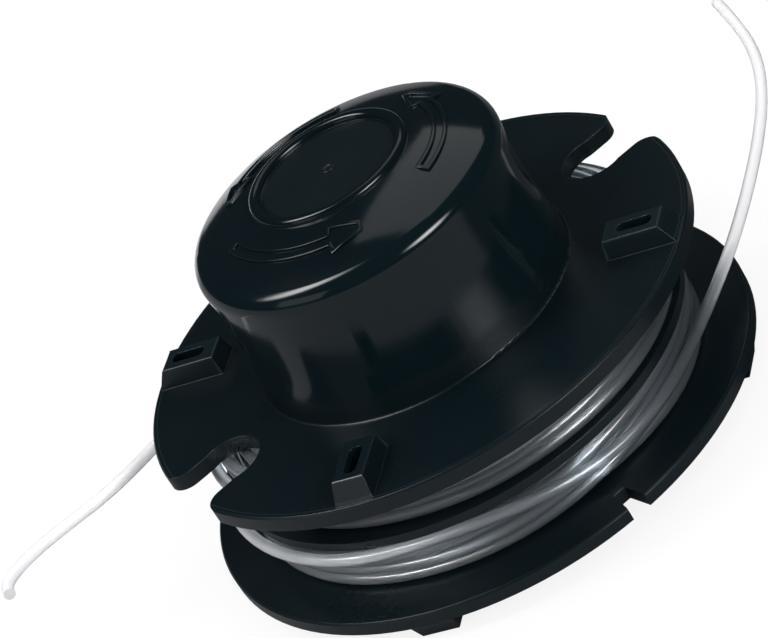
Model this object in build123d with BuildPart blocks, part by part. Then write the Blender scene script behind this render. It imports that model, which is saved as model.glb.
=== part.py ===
"""Two-line trimmer spool: one moulded spool with a bump knob, wound with two nylon lines.

The spool stands on its lower lugs with the knob up and its axis on +Z. The line slots of the
upper flange lie on the X axis. Sizes are in millimetres.
"""
import os
from math import cos, pi, radians, sin, sqrt, tan

from build123d import *

os.makedirs("parts", exist_ok=True)

# Line
line_d = 1.65
turns_per_layer = 4
layers = 8
lay_clearance = 0.02

# Hub and flanges
hub_r = 21.0
hub_wall = 2.4
lower_flange_r = 39.2
lower_flange_t = 1.9
divider_r = 33.3
divider_t = 1.25
upper_flange_r = 38.9
upper_flange_t = 2.2
lower_bay_h = 7.2
upper_bay_h = 7.95
rim_chamfer = 0.25
socket_chamfer = 0.6

# Index blocks: four on the upper flange and four under the lower one
block_count = 4
block_first_angle = 45.0
block_h = 2.7
block_foot_l = 9.85
block_foot_w = 5.3
block_draft = 0.45
block_end_slope = 1.6
block_edge = 0.12
block_rim_margin = 0.25
lug_foot_w = 6.1
lug_end_slope = 1.1
pocket_l = 4.9
pocket_w = 1.9
pocket_depth = 2.0
pocket_corner_r = 0.85
pocket_offset = 0.35

# Line slots of the upper flange
slot_bulb_r = 4.5
slot_depth = 11.8
slot_neck_w = 8.6
slot_lip_r = 2.5

# Notches of the lower rim
notch_depth = 4.0
notch_floor_w = 1.7
notch_mouth_w = 2.8

# Bump knob, heights above the upper flange
knob_foot_r = 22.3
knob_foot_fillet = 0.35
knob_waist_r = 21.55
knob_waist_h = 10.4
shoulder_r = 22.1
shoulder_h = 19.78
shoulder_fillet = 2.65
crown_top_h = 23.55
crown_bulge = 0.467
ring_crest_r = 10.5
ring_w = 1.6
ring_h = 0.95
disc_h = 23.6
knob_wall = 2.4
ceiling_fillet = 2.0
rib_t = 1.6
rib_depth = 1.6

# Levels
lower_flange_under = block_h
lower_flange_top = lower_flange_under + lower_flange_t
divider_under = lower_flange_top + lower_bay_h
divider_top = divider_under + divider_t
upper_flange_under = divider_top + upper_bay_h
upper_flange_top = upper_flange_under + upper_flange_t
shoulder_z = upper_flange_top + shoulder_h
crown_top_z = upper_flange_top + crown_top_h
disc_z = upper_flange_top + disc_h

# Hub socket
socket_r = hub_r - hub_wall
ceiling_edge_z = shoulder_z - knob_wall
ceiling_mid_z = disc_z - knob_wall

# Windings: layers nest in the grooves of the layer below
layer_pitch = line_d * sqrt(3) / 2
winding_r = hub_r + line_d + (layers - 1) * layer_pitch
winding_h = turns_per_layer * line_d
ridge_depth = 0.3 * line_d
ridge_crest = 0.4 * line_d
tail_start_r = winding_r + line_d / 2 + lay_clearance


def on_circle(radius, angle, z):
    """A point at a radius and an angle about the spool's axis."""
    return (radius * cos(radians(angle)), radius * sin(radians(angle)), z)


def bulged(start, end, bulge):
    """The middle point of an arc that stands off its chord, to the left of start to end."""
    along = Vector(*end) - Vector(*start)
    side = Vector(-along.Y, along.X).normalized()
    middle = Vector(*start) + along * 0.5 + side * bulge
    return (middle.X, middle.Y)


def index_block(face_r, foot_w, end_slope):
    """A block on the X axis, its foot on z = 0 and its sloped end at the edge of a round face."""
    foot_reach = sqrt(face_r**2 - (foot_w / 2) ** 2) - block_rim_margin
    top_l = block_foot_l - block_draft - end_slope
    top_middle = foot_reach - end_slope - top_l / 2
    with BuildPart() as block:
        with BuildSketch(Plane.XY):
            with Locations((foot_reach - block_foot_l / 2, 0)):
                Rectangle(block_foot_l, foot_w)
        with BuildSketch(Plane.XY.offset(block_h)):
            with Locations((top_middle, 0)):
                Rectangle(top_l, foot_w - 2 * block_draft)
        loft()
        chamfer(block.faces().sort_by(Axis.Z)[-1].edges(), block_edge)
        with BuildSketch(Plane.XY.offset(block_h)):
            with Locations((top_middle + pocket_offset, 0)):
                RectangleRounded(pocket_l, pocket_w, pocket_corner_r)
        extrude(amount=-pocket_depth, mode=Mode.SUBTRACT)
    return block.part


upper_block = index_block(upper_flange_r - rim_chamfer, block_foot_w, block_end_slope)
lower_block = index_block(lower_flange_r, lug_foot_w, lug_end_slope)

# Keyhole outline of a line slot, with lips that run into the rim
slot_inner_r = upper_flange_r - slot_depth
slot_bulb_x = slot_inner_r + slot_bulb_r
slot_neck_x = slot_bulb_x + sqrt(slot_bulb_r**2 - (slot_neck_w / 2) ** 2)
lip_y = slot_neck_w / 2 + slot_lip_r
lip_x = sqrt((upper_flange_r - slot_lip_r) ** 2 - lip_y**2)
lip_centre = Vector(lip_x, lip_y)
lip_out = lip_centre.normalized()
lip_turn = (lip_out + Vector(0, -1)).normalized()
lip_end = lip_centre + lip_out * slot_lip_r
lip_mid = lip_centre + lip_turn * slot_lip_r
slot_reach = upper_flange_r + slot_lip_r

with BuildSketch() as line_slot:
    with BuildLine():
        ThreePointArc(
            (slot_inner_r, 0),
            (slot_bulb_x - slot_bulb_r * cos(radians(60)), slot_bulb_r * sin(radians(60))),
            (slot_neck_x, slot_neck_w / 2),
        )
        Line((slot_neck_x, slot_neck_w / 2), (lip_x, slot_neck_w / 2))
        ThreePointArc((lip_x, slot_neck_w / 2), (lip_mid.X, lip_mid.Y), (lip_end.X, lip_end.Y))
        Polyline((lip_end.X, lip_end.Y), (slot_reach, lip_end.Y), (slot_reach, 0))
        mirror(about=Plane.XZ)
    make_face()

# Spool: revolved section, then the blocks, slots and notches
with BuildPart() as spool:
    with BuildSketch(Plane.XZ) as section:
        with BuildLine():
            ring_in = (ring_crest_r - ring_w / 2, disc_z)
            ring_top = (ring_crest_r, crown_top_z + ring_h)
            ring_out = (ring_crest_r + ring_w / 2, crown_top_z)
            shoulder = (shoulder_r, shoulder_z)
            waist = (knob_waist_r, upper_flange_top + knob_waist_h)
            foot = (knob_foot_r, upper_flange_top)
            Line((0, disc_z), ring_in)
            ThreePointArc(ring_in, ring_top, ring_out)
            ThreePointArc(ring_out, bulged(ring_out, shoulder, crown_bulge), shoulder)
            ThreePointArc(shoulder, waist, foot)
            Polyline(
                foot,
                (upper_flange_r - rim_chamfer, upper_flange_top),
                (upper_flange_r, upper_flange_top - rim_chamfer),
                (upper_flange_r, upper_flange_under),
                (hub_r, upper_flange_under),
                (hub_r, divider_top),
                (divider_r, divider_top),
                (divider_r, divider_under),
                (hub_r, divider_under),
                (hub_r, lower_flange_top),
                (lower_flange_r - rim_chamfer, lower_flange_top),
                (lower_flange_r, lower_flange_top - rim_chamfer),
                (lower_flange_r, lower_flange_under),
                (socket_r + socket_chamfer, lower_flange_under),
                (socket_r, lower_flange_under + socket_chamfer),
                (socket_r, ceiling_edge_z),
                (0, ceiling_mid_z),
                (0, disc_z),
            )
        make_face()
        fillet(section.vertices().sort_by_distance((socket_r, ceiling_edge_z))[0], ceiling_fillet)
        fillet(section.vertices().sort_by_distance(foot)[0], knob_foot_fillet)
        fillet(section.vertices().sort_by_distance(shoulder)[0], shoulder_fillet)
    revolve(axis=Axis.Z)

    # Cross ribs under the crown, their ends and tops let into the walls
    rib_under = ceiling_edge_z - rib_depth
    rib_reach = socket_r + hub_wall / 4
    for rib_angle in (block_first_angle, block_first_angle + 90):
        rib_plane = Plane.XZ.rotated((0, 0, rib_angle))
        with BuildSketch(rib_plane):
            Polygon(
                (-rib_reach, rib_under),
                (rib_reach, rib_under),
                (rib_reach, ceiling_edge_z),
                (0, ceiling_mid_z + knob_wall / 4),
                (-rib_reach, ceiling_edge_z),
                align=None,
            )
        extrude(amount=rib_t / 2, both=True)

    with Locations((0, 0, upper_flange_top)):
        with PolarLocations(0, block_count, start_angle=block_first_angle):
            add(upper_block)
    with Locations(Location((0, 0, lower_flange_under), (180, 0, 0))):
        with PolarLocations(0, block_count, start_angle=block_first_angle):
            add(lower_block)

    with BuildSketch(Plane.XY.offset(upper_flange_top)):
        with PolarLocations(0, 2):
            add(line_slot.sketch)
    extrude(amount=-upper_flange_t, mode=Mode.SUBTRACT)

    notch_floor_r = lower_flange_r - notch_depth
    notch_reach = lower_flange_r + notch_depth / 4
    notch_flare = (notch_mouth_w - notch_floor_w) / 2 * (notch_reach - notch_floor_r) / notch_depth
    with BuildSketch(Plane.XY.offset(lower_flange_top)):
        with PolarLocations(0, 2, start_angle=90):
            Polygon(
                (notch_floor_r, -notch_floor_w / 2),
                (notch_reach, -notch_floor_w / 2 - notch_flare),
                (notch_reach, notch_floor_w / 2 + notch_flare),
                (notch_floor_r, notch_floor_w / 2),
                align=None,
            )
    extrude(amount=-lower_flange_t, mode=Mode.SUBTRACT)


def winding_outline(bay_floor):
    """Section of a full bay: a ring on the hub whose outside follows the turns."""
    points = [(hub_r, bay_floor)]
    for turn in range(turns_per_layer):
        middle = bay_floor + (turn + 0.5) * line_d
        points.append((winding_r - ridge_depth, middle - line_d / 2))
        points.append((winding_r, middle - ridge_crest / 2))
        points.append((winding_r, middle + ridge_crest / 2))
    points.append((winding_r - ridge_depth, bay_floor + winding_h))
    points.append((hub_r, bay_floor + winding_h))
    return points


def route_radii(points):
    """The radius of each bend of a route: as large as its shorter run allows."""
    radii = []
    for before, corner, after in zip(points, points[1:], points[2:]):
        run_in = Vector(*corner) - Vector(*before)
        run_out = Vector(*after) - Vector(*corner)
        half_turn = radians(run_in.get_angle(run_out)) / 2
        radii.append(0.45 * min(run_in.length, run_out.length) / tan(half_turn))
    return radii


# Lower line: its winding, and the tail that leaves towards +X
lower_tail_angle = -60.45
lower_tail_z = 9.0
lower_tail_route = [
    on_circle(tail_start_r, lower_tail_angle, lower_tail_z),
    (26.1, -23.65, 9.0),
    (36.05, -16.3, 9.0),
    (45.15, -8.25, 9.0),
    (53.4, -0.1, 9.0),
    (60.35, 8.05, 9.0),
    (65.65, 16.4, 9.0),
    (69.4, 25.75, 9.0),
    (72.0, 35.15, 9.0),
]

with BuildPart() as lower_line_winding:
    with BuildSketch(Plane.XZ):
        with BuildLine():
            Polyline(*winding_outline(lower_flange_top), close=True)
        make_face()
    revolve(axis=Axis.Z)

lower_radii = route_radii(lower_tail_route)
with BuildPart() as lower_line_tail:
    with BuildLine() as lower_route:
        FilletPolyline(*lower_tail_route, radius=lower_radii)
    with BuildSketch(Plane(origin=lower_route.line @ 0, z_dir=lower_route.line % 0)):
        Circle(line_d / 2)
    sweep()

# Upper line: its winding, and the tail that leaves towards -X and ends in a small hook
upper_tail_angle = 104.95
upper_tail_z = 17.0
upper_tail_route = [
    on_circle(tail_start_r, upper_tail_angle, upper_tail_z),
    (-17.05, 30.15, 17.0),
    (-26.1, 27.7, 17.0),
    (-35.4, 25.15, 17.05),
    (-43.0, 23.3, 17.35),
    (-50.25, 22.4, 18.2),
    (-56.25, 21.4, 18.8),
    (-60.15, 19.65, 19.2),
    (-62.05, 17.8, 19.4),
    (-62.35, 15.9, 19.4),
]

with BuildPart() as upper_line_winding:
    with BuildSketch(Plane.XZ):
        with BuildLine():
            Polyline(*winding_outline(divider_top), close=True)
        make_face()
    revolve(axis=Axis.Z)

upper_radii = route_radii(upper_tail_route)
with BuildPart() as upper_line_tail:
    with BuildLine() as upper_route:
        FilletPolyline(*upper_tail_route, radius=upper_radii)
    with BuildSketch(Plane(origin=upper_route.line @ 0, z_dir=upper_route.line % 0)):
        Circle(line_d / 2)
    sweep()

for name, route, tail, radii in (
    ("lower tail", lower_route, lower_line_tail, lower_radii),
    ("upper tail", upper_route, upper_line_tail, upper_radii),
):
    length = sum(edge.length for edge in route.edges())
    print(name, "length", round(length, 1), "bend radii", [round(r, 1) for r in radii])
    tube_volume = length * pi * line_d**2 / 4
    print(name, "volume", round(tail.part.volume, 1), "section x length", round(tube_volume, 1))

spool.part.label = "spool"
lower_line_winding.part.label = "lower_line_winding"
lower_line_tail.part.label = "lower_line_tail"
upper_line_winding.part.label = "upper_line_winding"
upper_line_tail.part.label = "upper_line_tail"

export_step(spool.part, "parts/spool.step")
export_step(lower_line_winding.part, "parts/lower_line_winding.step")
export_step(lower_line_tail.part, "parts/lower_line_tail.step")
export_step(upper_line_winding.part, "parts/upper_line_winding.step")
export_step(upper_line_tail.part, "parts/upper_line_tail.step")
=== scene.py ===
"""Looks of a two-line trimmer spool: black moulded plastic, wound with translucent nylon line.

Places and sizes are worked out in millimetres, in the part's own frame, and turned into metres
where a mesh or a curve takes them.
"""
from math import atan2, cos, degrees, pi, radians, sin, sqrt

import bpy
from mathutils import Matrix, Vector

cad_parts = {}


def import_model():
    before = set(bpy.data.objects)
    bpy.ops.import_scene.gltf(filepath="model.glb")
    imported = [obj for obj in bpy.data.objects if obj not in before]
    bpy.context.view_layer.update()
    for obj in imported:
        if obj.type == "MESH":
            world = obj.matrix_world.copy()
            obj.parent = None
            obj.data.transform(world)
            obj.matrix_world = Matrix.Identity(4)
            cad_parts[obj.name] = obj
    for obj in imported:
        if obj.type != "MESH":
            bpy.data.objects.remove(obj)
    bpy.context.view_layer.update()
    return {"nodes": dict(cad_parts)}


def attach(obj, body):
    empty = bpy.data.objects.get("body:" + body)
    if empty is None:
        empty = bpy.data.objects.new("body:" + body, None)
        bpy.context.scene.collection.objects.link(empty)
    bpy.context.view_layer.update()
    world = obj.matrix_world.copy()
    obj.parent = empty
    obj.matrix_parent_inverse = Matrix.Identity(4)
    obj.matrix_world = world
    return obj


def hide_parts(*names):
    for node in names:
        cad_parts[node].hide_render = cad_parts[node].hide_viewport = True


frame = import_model()

MM = 0.001

# Sizes of the moulding that the pieces here sit on
LINE_D = 1.65
HUB_R = 21.0
LOWER_BAY = (4.6, 11.8)
UPPER_BAY = (13.05, 21.0)
DISC_Z = 46.8
CROWN_Z = 47.0

# The photograph's camera: where it stands, what it looks at, its roll and its lens
CAMERA_PLACE = (-110.85, -401.08, 261.19)
CAMERA_FORWARD = (0.22302, 0.83959, -0.49533)
CAMERA_ROLL = -32.29
CAMERA_LENS = 173.47
CAMERA_SENSOR = 36.0


def deselect():
    """Leaves nothing selected."""
    bpy.ops.object.select_all(action="DESELECT")


def settle(piece):
    """Puts a piece's place, turn and scale into its mesh, and leaves it alone selected."""
    deselect()
    piece.select_set(True)
    bpy.context.view_layer.objects.active = piece
    bpy.ops.object.transform_apply(location=True, rotation=True, scale=True)


def pick(piece, wanted):
    """Selects, in edit mode, the vertices for which wanted(place in mm) is true."""
    bpy.ops.mesh.select_mode(type="VERT")
    bpy.ops.mesh.select_all(action="DESELECT")
    bpy.ops.object.mode_set(mode="OBJECT")
    for vertex in piece.data.vertices:
        vertex.select = wanted(vertex.co / MM)
    bpy.ops.object.mode_set(mode="EDIT")


def finish_with(piece, kind, **settings):
    """Adds a modifier to a piece and applies it."""
    modifier = piece.modifiers.new(kind.lower(), kind)
    for name, value in settings.items():
        setattr(modifier, name, value)
    bpy.ops.object.modifier_apply(modifier=modifier.name)


# Shader expressions


class Value:
    """A shader socket that takes part in plain Python expressions."""

    def __init__(self, finish, socket):
        self.finish = finish
        self.socket = socket

    def math(self, operation, *others):
        sockets = dict(enumerate((self, *others)))
        return self.finish.node("ShaderNodeMath", {"operation": operation}, sockets)

    def __add__(self, other):
        return self.math("ADD", other)

    def __sub__(self, other):
        return self.math("SUBTRACT", other)

    def __rsub__(self, other):
        return (self * -1.0) + other

    def __mul__(self, other):
        return self.math("MULTIPLY", other)

    __radd__ = __add__
    __rmul__ = __mul__


class Finish:
    """A material's node tree, or the world's, built from expressions."""

    def __init__(self, owner):
        owner.use_nodes = True
        self.owner = owner
        self.tree = owner.node_tree
        self.tree.nodes.clear()

    def node(self, kind, settings=None, sockets=None, out=0):
        """Adds a node: its settings first, then the values or links of its sockets."""
        made = self.tree.nodes.new(kind)
        for name, value in (settings or {}).items():
            setattr(made, name, value)
        for key, value in (sockets or {}).items():
            socket = made.inputs[key]
            if isinstance(value, Value):
                self.tree.links.new(value.socket, socket)
            else:
                socket.default_value = value
        return Value(self, made.outputs[out]) if len(made.outputs) else made

    def noise(self, scale, detail=2.0, roughness=0.5):
        """Smooth noise from 0 to 1, its scale in cells per metre of the object."""
        sockets = {"Vector": self.place(), "Scale": scale, "Detail": detail, "Roughness": roughness}
        return self.node("ShaderNodeTexNoise", {}, sockets)

    def place(self):
        """The point on the object, in its own frame."""
        return self.node("ShaderNodeTexCoord", {}, {}, out="Object")

    def axis(self, index):
        """The point's place along one axis: 0 for X, 1 for Y, 2 for Z."""
        return self.node("ShaderNodeSeparateXYZ", {}, {0: self.place()}, out=index)

    def ray(self, what):
        """What kind of ray meets the surface, or how often it was turned before."""
        return self.node("ShaderNodeLightPath", {}, {}, out=what)

    def smooth(self, value, low, high):
        """0 below low, 1 above high, and smooth between."""
        settings = {"interpolation_type": "SMOOTHSTEP", "clamp": True}
        sockets = {0: value, 1: low, 2: high, 3: 0.0, 4: 1.0}
        return self.node("ShaderNodeMapRange", settings, sockets)

    def past(self, value, span):
        """0 before a span in millimetres, 1 after it, and smooth between."""
        return self.smooth(value, span[0] * MM, span[1] * MM)

    def turned(self, value, span):
        """The same for a span in degrees."""
        return self.smooth(value, radians(span[0]), radians(span[1]))

    def mix(self, share, first, second):
        """A colour between two others."""
        sockets = {0: share, 6: first, 7: second}
        return self.node("ShaderNodeMix", {"data_type": "RGBA"}, sockets, out=2)


def new_material(name):
    return Finish(bpy.data.materials.new(name))


# Materials

# The plastic's zones: the heights and distances from the axis over which each begins or ends
FLANGE_END_Z = (26.0, 27.6)
FOOT_END_Z, FOOT_END_R = (23.7, 24.3), (22.9, 23.5)
BLOCK_SIDE_Z, BLOCK_TOP_Z, BLOCK_R = (23.3, 23.8), (25.3, 25.7), (23.2, 24.2)
BLOCK_END_Z, BLOCK_END_R, BLOCK_END_OUT_R = (23.3, 23.5), (23.2, 23.6), (28.9, 29.3)
FRONT_BLOCK_Z, FRONT_BLOCK = (23.4, 23.6), (33.0, 38.0)
CROWN_START_Z = (42.0, 44.5)
DISC_START_Z, DISC_END_R = (44.0, 45.0), (9.0, 9.8)
# A painted highlight line just inside the upper rim: its heights and distances from the axis
RIM_HIGHLIGHT_Z, RIM_HIGHLIGHT_R, RIM_HIGHLIGHT_OUT_R = (23.0, 23.1), (38.02, 38.14), (38.18, 38.30)

# Its shades, from one end of the flow marks to the other where there are two
FLANGE_SHADES = (0.0015, 0.0054, 0.0074, 1.0), (0.0021, 0.0070, 0.0094, 1.0)
# Painted fill: the knob's colours are a little lighter than the flange's, against the shade on its wall
KNOB_PAINTED_FILL_SHADES = (0.0020, 0.0064, 0.0084, 1.0), (0.0028, 0.0080, 0.0104, 1.0)
CROWN_SHADES = (0.0019, 0.0050, 0.0065, 1.0), (0.0027, 0.0064, 0.0082, 1.0)
# Painted light: the blocks paler than the flange, a little on their sides and more on their tops
BLOCK_PAINTED_LIGHT_SHADE = (0.0040, 0.0108, 0.0140, 1.0)
# Painted light on the blocks' inner ends, which lie in shade
BLOCK_END_PAINTED_LIGHT_SHADE = (0.0120, 0.0240, 0.0290, 1.0)
# Rubbed edges: partly wear, partly a painted highlight along each edge
EDGE_WEAR_AND_HIGHLIGHT_SHADE = (0.013, 0.021, 0.025, 1.0)
EDGE_ROUND = 0.15


def black_plastic():
    """Black moulded plastic: clean gloss, faint flow marks, rubbed edges with a painted highlight.

    The flanges are duller than the knob, whose colour is painted a little lighter against the shade
    on its wall. The blocks on the upper one are painted paler, most on their tops, and their inner
    ends paler still against the shade there; the crown's disc is the dullest. The front block has
    less of this painted light, and less rub and painted highlight on its edges, than the others.
    """
    finish = new_material("black_plastic")
    flow = finish.noise(90.0, detail=3.0, roughness=0.6)
    grain = finish.noise(2200.0, detail=2.0)
    waves = finish.noise(240.0, detail=1.0)
    across, along, height = (finish.axis(index) for index in range(3))
    reach = (across * across + along * along).math("SQRT")

    flange = 1.0 - finish.past(height, FLANGE_END_Z)
    # Painted light: the blocks paler on their sides and more on their tops, the front one less so
    block_painted_light = 0.3 * finish.past(height, BLOCK_SIDE_Z) + 0.7 * finish.past(height, BLOCK_TOP_Z)
    front = finish.past(0.0 - across - along, FRONT_BLOCK) * finish.past(height, FRONT_BLOCK_Z)
    block_painted_light = block_painted_light * finish.past(reach, BLOCK_R) * (1.0 - 0.7 * front)
    # Painted light on the blocks' inner ends, against the shade that falls there
    end = finish.past(height, BLOCK_END_Z) * finish.past(reach, BLOCK_END_R)
    end = end * (1.0 - finish.past(reach, BLOCK_END_OUT_R))
    low = finish.mix(block_painted_light * flange, finish.mix(flow, *FLANGE_SHADES), BLOCK_PAINTED_LIGHT_SHADE)
    low = finish.mix(end * flange, low, BLOCK_END_PAINTED_LIGHT_SHADE)

    disc = finish.past(height, DISC_START_Z) * (1.0 - finish.past(reach, DISC_END_R))
    crown = finish.past(height, CROWN_START_Z) * (1.0 - disc)
    high = finish.mix(crown, finish.mix(flow, *KNOB_PAINTED_FILL_SHADES), finish.mix(flow, *CROWN_SHADES))

    # Edges are rubbed pale and carry a painted highlight, apart from the knob's foot; a line just
    # inside the upper rim is a painted highlight
    round_edges = finish.node("ShaderNodeBevel", {"samples": 6}, {"Radius": EDGE_ROUND * MM})
    flat = finish.node("ShaderNodeNewGeometry", {}, {}, out="Normal")
    sockets = {0: round_edges, 1: flat}
    facing = finish.node("ShaderNodeVectorMath", {"operation": "DOT_PRODUCT"}, sockets, out=1)
    foot = (1.0 - finish.past(height, FOOT_END_Z)) * (1.0 - finish.past(reach, FOOT_END_R))
    wear_and_edge_highlight = finish.smooth(1.0 - facing, 0.01, 0.12) * (1.0 - foot) * (1.0 - 0.65 * front)
    rim_highlight = finish.past(reach, RIM_HIGHLIGHT_R) * (1.0 - finish.past(reach, RIM_HIGHLIGHT_OUT_R))
    rim_highlight = rim_highlight * finish.past(height, RIM_HIGHLIGHT_Z) * flange
    wear_and_edge_highlight = wear_and_edge_highlight.math("MAXIMUM", 0.55 * rim_highlight)

    colour = finish.mix(wear_and_edge_highlight, finish.mix(flange, high, low), EDGE_WEAR_AND_HIGHLIGHT_SHADE)
    worn = 0.04 * finish.smooth(flow, 0.35, 0.7) + 0.02 * grain - 0.06 * wear_and_edge_highlight
    roughness = 0.085 + 0.18 * flange + 0.24 * disc + worn
    bump = finish.node(
        "ShaderNodeBump",
        {},
        {
            "Strength": 0.12,
            "Distance": 0.05 * MM,
            "Height": grain * 0.01 + waves,
            "Normal": round_edges,
        },
    )
    shader = finish.node(
        "ShaderNodeBsdfPrincipled",
        {},
        {"Base Color": colour, "Roughness": roughness, "IOR": 1.47, "Normal": bump},
    )
    finish.node("ShaderNodeOutputMaterial", {}, {"Surface": shader})
    return finish.owner


# The line's shades, and the places over which its finish changes
WOUND_SHADES = (0.65, 0.725, 0.785, 1.0), (0.73, 0.805, 0.865, 1.0)
# Painted shade: the wound turns darker at the right
WOUND_RIGHT_PAINTED_SHADE = (0.48, 0.56, 0.62, 1.0)
HANGING_SHADES = (0.86, 0.855, 0.875, 1.0), (0.92, 0.915, 0.93, 1.0)
PAINTED_SHADE_RIGHT_X, PAINTED_LIGHT_LEFT_X = (6.0, 30.0), (-26.0, 2.0)
FREE_R, PAINTED_LIGHT_SLACK_R = (34.3, 40.6), (32.9, 33.9)


def nylon():
    """Nylon monofilament: clear and glossy where it is wound up, cloudy where it hangs free.

    The wound turns are darker at the right, as painted shade, and the turns at the left, the slack
    ones most, are made a little cloudy and so paler, as painted light.
    """
    finish = new_material("nylon_line")
    across, along = finish.axis(0), finish.axis(1)
    reach = (across * across + along * along).math("SQRT")
    cloud = finish.noise(140.0, detail=2.0)
    # Painted shade: the wound turns darker towards the right
    right_painted_shade = finish.past(across, PAINTED_SHADE_RIGHT_X)
    wound = finish.mix(0.7 * right_painted_shade, finish.mix(cloud, *WOUND_SHADES), WOUND_RIGHT_PAINTED_SHADE)
    hanging = finish.mix(cloud, *HANGING_SHADES)
    roughness = 0.26 + 0.08 * cloud
    shades = []
    for colour, clearness, gloss in ((wound, 0.97, 1.0), (hanging, 0.58, 0.2)):
        shades.append(
            finish.node(
                "ShaderNodeBsdfPrincipled",
                {},
                {
                    "Base Color": colour,
                    "Roughness": roughness,
                    "IOR": 1.53,
                    "Specular IOR Level": 0.12,
                    "Transmission Weight": clearness,
                    "Coat Weight": gloss,
                    "Coat Roughness": 0.025,
                    "Coat IOR": 1.5,
                },
            )
        )
    free = finish.past(reach - 0.04 * across + 0.002 * cloud, FREE_R)
    # Painted light: the turns at the left, the slack ones most, made a little cloudy and so paler
    left_painted_light = 1.0 - finish.past(across, PAINTED_LIGHT_LEFT_X)
    slack = finish.past(reach, PAINTED_LIGHT_SLACK_R)
    free = free.math("MAXIMUM", left_painted_light * (0.04 + 0.13 * slack))
    shader = finish.node("ShaderNodeMixShader", {}, {0: free, 1: shades[0], 2: shades[1]})
    finish.node("ShaderNodeOutputMaterial", {}, {"Surface": shader})
    return finish.owner


# Crown marks

MARK_R = 15.3
MARK_W = 1.9
MARK_ARC = 62.0
MARK_HEAD_W = 4.6
MARK_HEAD_L = 4.4
MARK_STROKE = 0.5
MARK_RAISE = 0.32
MARK_BEVEL = 0.11
MARKS = 3

# The gate mark: its radius, how deep it starts in the disc, its height, wall and hollow
GATE_R = 0.95
GATE_SUNK = 0.15
GATE_H = 0.33
GATE_WALL = 0.34
GATE_HOLLOW = 0.13
GATE_BEVEL = 0.07

BEVEL_EDGES = {"segments": 2, "limit_method": "ANGLE", "angle_limit": radians(50)}
SMOOTH_ANGLE = radians(35)


def crown_marks(spool, finish):
    """Three raised arrows around the crown, which show the way the lines run."""
    deselect()
    above = (MARK_R * MM, 0, (CROWN_Z + 3) * MM)
    bpy.ops.mesh.primitive_plane_add(size=MARK_W * MM, location=above)
    piece = bpy.context.active_object
    piece.name = "crown_marks"
    settle(piece)
    bpy.ops.object.mode_set(mode="EDIT")
    pick(piece, lambda place: place.y > 0)
    bpy.ops.mesh.delete(type="VERT")
    bpy.ops.mesh.select_all(action="SELECT")
    bpy.ops.mesh.spin(steps=24, angle=radians(MARK_ARC), center=(0, 0, 0), axis=(0, 0, 1))

    # The head: the shaft's end edge, run out and widened, then drawn to a point
    bpy.ops.object.mode_set(mode="OBJECT")
    end = max(degrees(atan2(v.co.y, v.co.x)) for v in piece.data.vertices)
    bpy.ops.object.mode_set(mode="EDIT")
    pick(piece, lambda place: degrees(atan2(place.y, place.x)) > end - 1.5)
    bpy.ops.object.mode_set(mode="OBJECT")
    chosen = [v.co.copy() for v in piece.data.vertices if v.select]
    bpy.ops.object.mode_set(mode="EDIT")
    middle = sum(chosen, Vector()) / len(chosen)
    along = Vector((-middle.y, middle.x, 0)).normalized()
    shoulder = middle + along * 0.25 * MM
    bpy.ops.mesh.extrude_edges_move(TRANSFORM_OT_translate={"value": shoulder - middle})
    wide = MARK_HEAD_W / MARK_W
    bpy.ops.transform.resize(value=(wide, wide, 1), center_override=shoulder)
    inward = Vector((middle.x, middle.y, 0)).normalized() * -0.5 * MM
    tip = shoulder + along * MARK_HEAD_L * MM + inward
    bpy.ops.mesh.extrude_edges_move(TRANSFORM_OT_translate={"value": tip - shoulder})
    bpy.ops.transform.resize(value=(0.3, 0.3, 1), center_override=tip)

    # Only the outline stands up
    bpy.ops.mesh.select_all(action="SELECT")
    bpy.ops.mesh.normals_make_consistent(inside=False)
    bpy.ops.mesh.select_mode(type="FACE")
    bpy.ops.mesh.select_all(action="SELECT")
    bpy.ops.mesh.inset(thickness=MARK_STROKE * MM, use_even_offset=True)
    bpy.ops.mesh.delete(type="FACE")
    bpy.ops.mesh.select_all(action="SELECT")
    bpy.ops.mesh.subdivide(number_cuts=1)
    bpy.ops.mesh.select_all(action="SELECT")
    others = MARKS - 1
    round_to = radians(360 * others / MARKS)
    bpy.ops.mesh.spin(steps=others, dupli=True, angle=round_to, center=(0, 0, 0), axis=(0, 0, 1))
    bpy.ops.object.mode_set(mode="OBJECT")

    finish_with(
        piece,
        "SHRINKWRAP",
        target=spool,
        wrap_method="PROJECT",
        use_project_z=True,
        use_negative_direction=True,
        use_positive_direction=False,
    )
    finish_with(piece, "SOLIDIFY", thickness=2 * MARK_RAISE * MM, offset=0.0, use_even_offset=True)
    finish_with(piece, "BEVEL", width=MARK_BEVEL * MM, **BEVEL_EDGES)
    bpy.ops.object.shade_smooth_by_angle(angle=SMOOTH_ANGLE)
    piece.data.materials.append(finish)
    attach(piece, "root")


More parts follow.
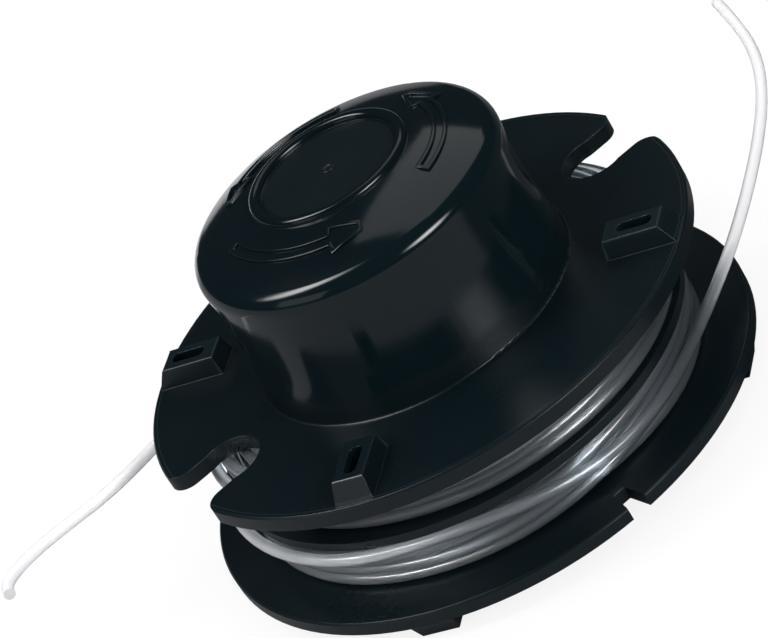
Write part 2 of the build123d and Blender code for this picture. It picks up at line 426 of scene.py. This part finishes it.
def gate_mark(finish):
    """The round scar of the mould's gate, in the middle of the knob's disc."""
    deselect()
    start = (0, 0, (DISC_Z - GATE_SUNK) * MM)
    bpy.ops.mesh.primitive_circle_add(vertices=40, radius=GATE_R * MM, fill_type="NGON", location=start)
    piece = bpy.context.active_object
    piece.name = "gate_mark"
    settle(piece)
    bpy.ops.object.mode_set(mode="EDIT")
    bpy.ops.mesh.select_all(action="SELECT")
    bpy.ops.mesh.extrude_region_move(TRANSFORM_OT_translate={"value": (0, 0, GATE_H * MM)})
    bpy.ops.mesh.inset(thickness=GATE_WALL * MM)
    bpy.ops.mesh.extrude_region_move(TRANSFORM_OT_translate={"value": (0, 0, -GATE_HOLLOW * MM)})
    bpy.ops.mesh.select_all(action="SELECT")
    bpy.ops.mesh.normals_make_consistent(inside=False)
    bpy.ops.object.mode_set(mode="OBJECT")
    finish_with(piece, "BEVEL", width=GATE_BEVEL * MM, **BEVEL_EDGES)
    bpy.ops.object.shade_smooth_by_angle(angle=SMOOTH_ANGLE)
    piece.data.materials.append(finish)
    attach(piece, "root")


# Lines

STEPS_PER_TURN = 24
LAYERS = 8
ROWS = 4
LAYER_PITCH = LINE_D * sqrt(3) / 2
STEP_SHARE = 0.16
GOLDEN = 2.399963
WOBBLE_OUT = 0.10
WOBBLE_UP = 0.06


def eased(share):
    """0 to 1 with soft ends, held outside that range."""
    share = min(max(share, 0.0), 1.0)
    return share * share * (3 - 2 * share)


def row_place(bay, layer, row):
    """Radius and height of a row of turns: layers climb and fall in turn, each nested on the last."""
    low, high = bay
    radius = HUB_R + LINE_D / 2 + layer * LAYER_PITCH
    if layer % 2:
        return radius, low + LINE_D * (row + 0.5)
    return radius, high - LINE_D * (row + 0.5)


def wound_turns(bay, turns, end_angle, hang):
    """Points of a winding from the hub outwards, which ends at an angle of the spool.

    Each turn lies in its row and steps over to the next in the last part of its round. The hang
    gives how far a turn stands off its row, out and up, from the turn and the angle.
    """
    points = []
    control = 1 / cos(pi / STEPS_PER_TURN)
    for step in range(turns * STEPS_PER_TURN + 1):
        turn = step / STEPS_PER_TURN
        whole = min(int(turn), turns - 1)
        over = eased((turn - whole - 1 + STEP_SHARE) / STEP_SHARE)
        here = row_place(bay, whole // ROWS, whole % ROWS)
        after = row_place(bay, (whole + 1) // ROWS, (whole + 1) % ROWS)
        angle = end_angle + 360.0 * (turn - turns)
        out, up = hang(turn, angle)
        out += WOBBLE_OUT * sin(3 * radians(angle) + GOLDEN * whole)
        up += WOBBLE_UP * cos(2 * radians(angle) + GOLDEN * whole)
        radius = here[0] + (after[0] - here[0]) * over + out
        height = here[1] + (after[1] - here[1]) * over + up
        points.append(
            (
                control * radius * cos(radians(angle)),
                control * radius * sin(radians(angle)),
                height,
            )
        )
    return points


def line(name, points, finish):
    """A nylon line along control points in millimetres."""
    curve = bpy.data.curves.new(name, "CURVE")
    curve.dimensions = "3D"
    curve.bevel_depth = LINE_D / 2 * MM
    curve.bevel_resolution = 4
    curve.use_fill_caps = True
    curve.resolution_u = 4
    spline = curve.splines.new("NURBS")
    spline.points.add(len(points) - 1)
    for place, point in zip(points, spline.points):
        point.co = (*(c * MM for c in place), 1.0)
    spline.order_u = 3
    spline.use_endpoint_u = True
    piece = bpy.data.objects.new(name, curve)
    bpy.context.scene.collection.objects.link(piece)
    curve.materials.append(finish)
    return piece


LOWER_TAIL_ANGLE = -60.45
LOWER_TURNS = 32
LOWER_TAIL = [
    (26.1, -23.65, 9.0),
    (36.05, -16.3, 9.0),
    (45.15, -8.25, 9.0),
    (53.4, -0.1, 9.0),
    (60.35, 8.05, 9.0),
    (65.65, 16.4, 9.0),
    (69.4, 25.75, 9.0),
    (72.0, 35.15, 9.0),
]

UPPER_TAIL_ANGLE = 104.95
UPPER_TURNS = 31
UPPER_TAIL = [
    (-17.05, 30.15, 17.0),
    (-26.1, 27.7, 17.0),
    (-35.4, 25.15, 17.05),
    (-43.0, 23.3, 17.35),
    (-50.25, 22.4, 18.2),
    (-56.25, 21.4, 18.8),
    (-60.15, 19.65, 19.2),
    (-62.05, 17.8, 19.4),
    (-62.35, 15.9, 19.4),
]


def angle_off(angle, middle):
    """Signed angle from a direction of the spool, from -180 to 180 degrees."""
    return (angle - middle + 180.0) % 360.0 - 180.0


# The lower line's slack last turn: distances, each with the degrees left where it starts and its run
LOWER_OUT = [(2.4, 195.0, 60.0), (-1.08, 95.0, 28.0), (-1.3, 58.0, 58.0)]
LOWER_UP = [(0.55, 175.0, 40.0), (-3.25, 66.0, 50.0)]


def lower_hang(turn, angle):
    """The lower line's last turn is slack: it stands off under the divider, then slips to its exit."""
    left = (LOWER_TURNS - turn) * 360.0
    out, up = (
        sum(size * eased((start - left) / run) for size, start, run in steps)
        for steps in (LOWER_OUT, LOWER_UP)
    )
    return out, up


# The upper line: where its layers are pressed in and where some stand loose, with the half width
UPPER_PRESS = 2.0
UPPER_PRESS_AT = (-175.0, 55.0)
UPPER_LOOSE_AT = (166.0, 24.0)


def swell(angle, middle, half):
    """1 at a direction of the spool, a half at the half width, and almost 0 further off."""
    return 1 / (1 + (angle_off(angle, middle) / half) ** 4)


def upper_hang(turn, angle):
    """The upper line is pressed in at the left, where some turns stand loose over the slot.

    Its last turn stands off in front too, and rises before its exit.
    """
    press = -UPPER_PRESS * (turn / UPPER_TURNS) ** 2 * swell(angle, *UPPER_PRESS_AT)
    loose = swell(angle, *UPPER_LOOSE_AT)
    left = (UPPER_TURNS - turn) * 360.0
    if left < 360.0:
        slack = eased((275.0 - left) / 30.0) * eased((left - 112.0) / 48.0)
        lift = eased((165.0 - left) / 50.0) * eased((left - 35.0) / 40.0)
        out = press + 3.2 * loose + 2.45 * slack + 0.7 * lift
        return out, 1.2 * loose + 1.0 * slack + 1.7 * lift
    if 24 <= turn < 26:
        return press + 2.1 * loose, 0.0
    if 22 <= turn < 24:
        return press + 0.5 * loose, 0.7 * loose
    return press, 0.0


def lower_line(finish):
    points = wound_turns(LOWER_BAY, LOWER_TURNS, LOWER_TAIL_ANGLE, lower_hang)
    piece = line("lower_line", points + LOWER_TAIL, finish)
    leaves = [c * MM for c in points[-1]]
    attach(piece, "root")
    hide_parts("lower_line_winding", "lower_line_tail")


def upper_line(finish):
    points = wound_turns(UPPER_BAY, UPPER_TURNS, UPPER_TAIL_ANGLE, upper_hang)
    piece = line("upper_line", points + UPPER_TAIL, finish)
    leaves = [c * MM for c in points[-1]]
    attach(piece, "root")
    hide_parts("upper_line_winding", "upper_line_tail")


# Studio

LIGHT_DISTANCE = 0.9
LIGHT_FADE = (0.06, 0.5)

# The floor's shades by bearing from the front to the right, in degrees, as the gloss mirrors them
FLOOR_DIM_FROM, FLOOR_DIM_TO = (34.0, 44.0), (112.0, 160.0)
FLOOR_BEHIND = (160.0, 174.0)
FLOOR_SHADE = (0.22, 0.225, 0.235, 1.0)
FLOOR_DIM_SHADE = (0.035, 0.036, 0.038, 1.0)
FLOOR_BEHIND_SHADE = (0.70, 0.70, 0.71, 1.0)
FLOOR_SEEN_SHADE = (0.80, 0.80, 0.80, 1.0)
FLOOR_GLOW_SEEN = 0.86
WHITE = (1.0, 1.0, 1.0, 1.0)
WORLD_GLOSS = (0.018, 0.021, 0.024, 1.0)
WORLD_FILL = (0.90, 0.90, 0.91, 1.0)


def camera():
    forward = Vector(CAMERA_FORWARD)
    roll = Matrix.Rotation(radians(CAMERA_ROLL), 3, "Z")
    turn = forward.to_track_quat("-Z", "Y").to_matrix() @ roll
    data = bpy.data.cameras.new("camera")
    data.lens = CAMERA_LENS
    data.sensor_width = CAMERA_SENSOR
    data.sensor_fit = "HORIZONTAL"
    data.clip_start = 0.01
    piece = bpy.data.objects.new("camera", data)
    piece.matrix_world = Matrix.Translation(Vector(CAMERA_PLACE) * MM) @ turn.to_4x4()
    bpy.context.scene.collection.objects.link(piece)
    bpy.context.scene.camera = piece


def softbox(name, turn, climb, width, height, radiance, soft=True):
    """A soft light that faces the spool: its turn is from the front to the right, in degrees.

    A soft one is brightest in its middle and fades to its edges.
    """
    data = bpy.data.lights.new(name, "AREA")
    data.shape = "RECTANGLE"
    data.size = width
    data.size_y = height
    data.energy = radiance * pi * width * height
    if soft:
        finish = Finish(data)
        spot = finish.node("ShaderNodeNewGeometry", {}, {}, out="Parametric")
        sockets = {0: spot, 1: (0.5, 0.5, 0.0)}
        off = finish.node("ShaderNodeVectorMath", {"operation": "DISTANCE"}, sockets, out=1)
        strength = 1.0 - finish.smooth(off, *LIGHT_FADE)
        glow = finish.node("ShaderNodeEmission", {}, {"Strength": strength})
        finish.node("ShaderNodeOutputLight", {}, {"Surface": glow})
    piece = bpy.data.objects.new(name, data)
    level = cos(radians(climb))
    aim = Vector((sin(radians(turn)) * level, -cos(radians(turn)) * level, sin(radians(climb))))
    facing = aim.to_track_quat("Z", "Y").to_matrix().to_4x4()
    piece.matrix_world = Matrix.Translation(aim * LIGHT_DISTANCE) @ facing
    bpy.context.scene.collection.objects.link(piece)
    return piece


def seen_by(finish):
    """Two masks: what the camera sees straight on, and what shows through one strand of line."""
    one_strand = finish.ray("Transmission Depth").math("LESS_THAN", 2.5)
    unmirrored = finish.ray("Glossy Depth").math("LESS_THAN", 0.5)
    through = finish.ray("Is Transmission Ray") * one_strand * unmirrored
    return finish.ray("Is Camera Ray"), through


def floor():
    """A plain pale floor, which the camera sees as white ground with a faint shadow."""
    deselect()
    bpy.ops.mesh.primitive_circle_add(vertices=96, radius=3.0, fill_type="NGON")
    piece = bpy.context.active_object
    piece.name = "floor"
    finish = new_material("floor_white")
    straight, through = seen_by(finish)
    bearing = finish.axis(0).math("ARCTAN2", -1.0 * finish.axis(1))
    dim = finish.turned(bearing, FLOOR_DIM_FROM) * (1.0 - finish.turned(bearing, FLOOR_DIM_TO))
    behind = finish.turned(bearing.math("ABSOLUTE"), FLOOR_BEHIND)
    shade = finish.mix(dim, FLOOR_SHADE, FLOOR_DIM_SHADE)
    shade = finish.mix(behind, shade, FLOOR_BEHIND_SHADE)
    shade = finish.mix(straight, shade, FLOOR_SEEN_SHADE)
    paint = finish.node("ShaderNodeBsdfDiffuse", {}, {"Color": shade})
    glow = finish.node("ShaderNodeEmission", {}, {"Color": WHITE, "Strength": 1.0})
    share = FLOOR_GLOW_SEEN * straight + through
    shader = finish.node("ShaderNodeMixShader", {}, {0: share, 1: paint, 2: glow})
    finish.node("ShaderNodeOutputMaterial", {}, {"Surface": shader})
    piece.data.materials.append(finish.owner)


def world():
    """White to the camera and through the line, a soft fill on all sides, and dark in the gloss."""
    finish = Finish(bpy.data.worlds.new("studio"))
    straight, through = seen_by(finish)
    unseen = finish.mix(finish.ray("Is Diffuse Ray"), WORLD_GLOSS, WORLD_FILL)
    colour = finish.mix(straight + through, unseen, WHITE)
    light = finish.node("ShaderNodeBackground", {}, {"Color": colour, "Strength": 1.0})
    finish.node("ShaderNodeOutputWorld", {}, {"Surface": light})
    bpy.context.scene.world = finish.owner


def studio():
    """Floor, background and lights. Each light has its turn, climb, width, height and radiance."""
    floor()
    world()
    softbox("top_softbox", -117.0, 60.0, 0.36, 0.90, 13.0)
    softbox("front_softbox", 18.0, 28.0, 0.70, 0.38, 16.0)
    softbox("left_fill", -78.0, 24.0, 0.5, 0.4, 0.6, soft=False)
    lit = bpy.data.collections.new("lines")
    for name in ("lower_line", "upper_line"):
        lit.objects.link(bpy.data.objects[name])
    for light in (
        softbox("line_strip", -84.0, 43.0, 1.20, 0.11, 48.0),
        softbox("line_key", 18.0, 28.0, 0.30, 0.46, 22.0),
    ):
        light.light_linking.receiver_collection = lit
    softbox("right_panel", 130.0, 55.0, 0.48, 0.70, 0.7, soft=False)
    bpy.context.scene.view_settings.view_transform = "Standard"


plastic = black_plastic()
line_finish = nylon()
spool = frame["nodes"]["spool"]
spool.data.materials.clear()
spool.data.materials.append(plastic)
camera()
lower_line(line_finish)
upper_line(line_finish)
crown_marks(spool, plastic)
gate_mark(plastic)
studio()
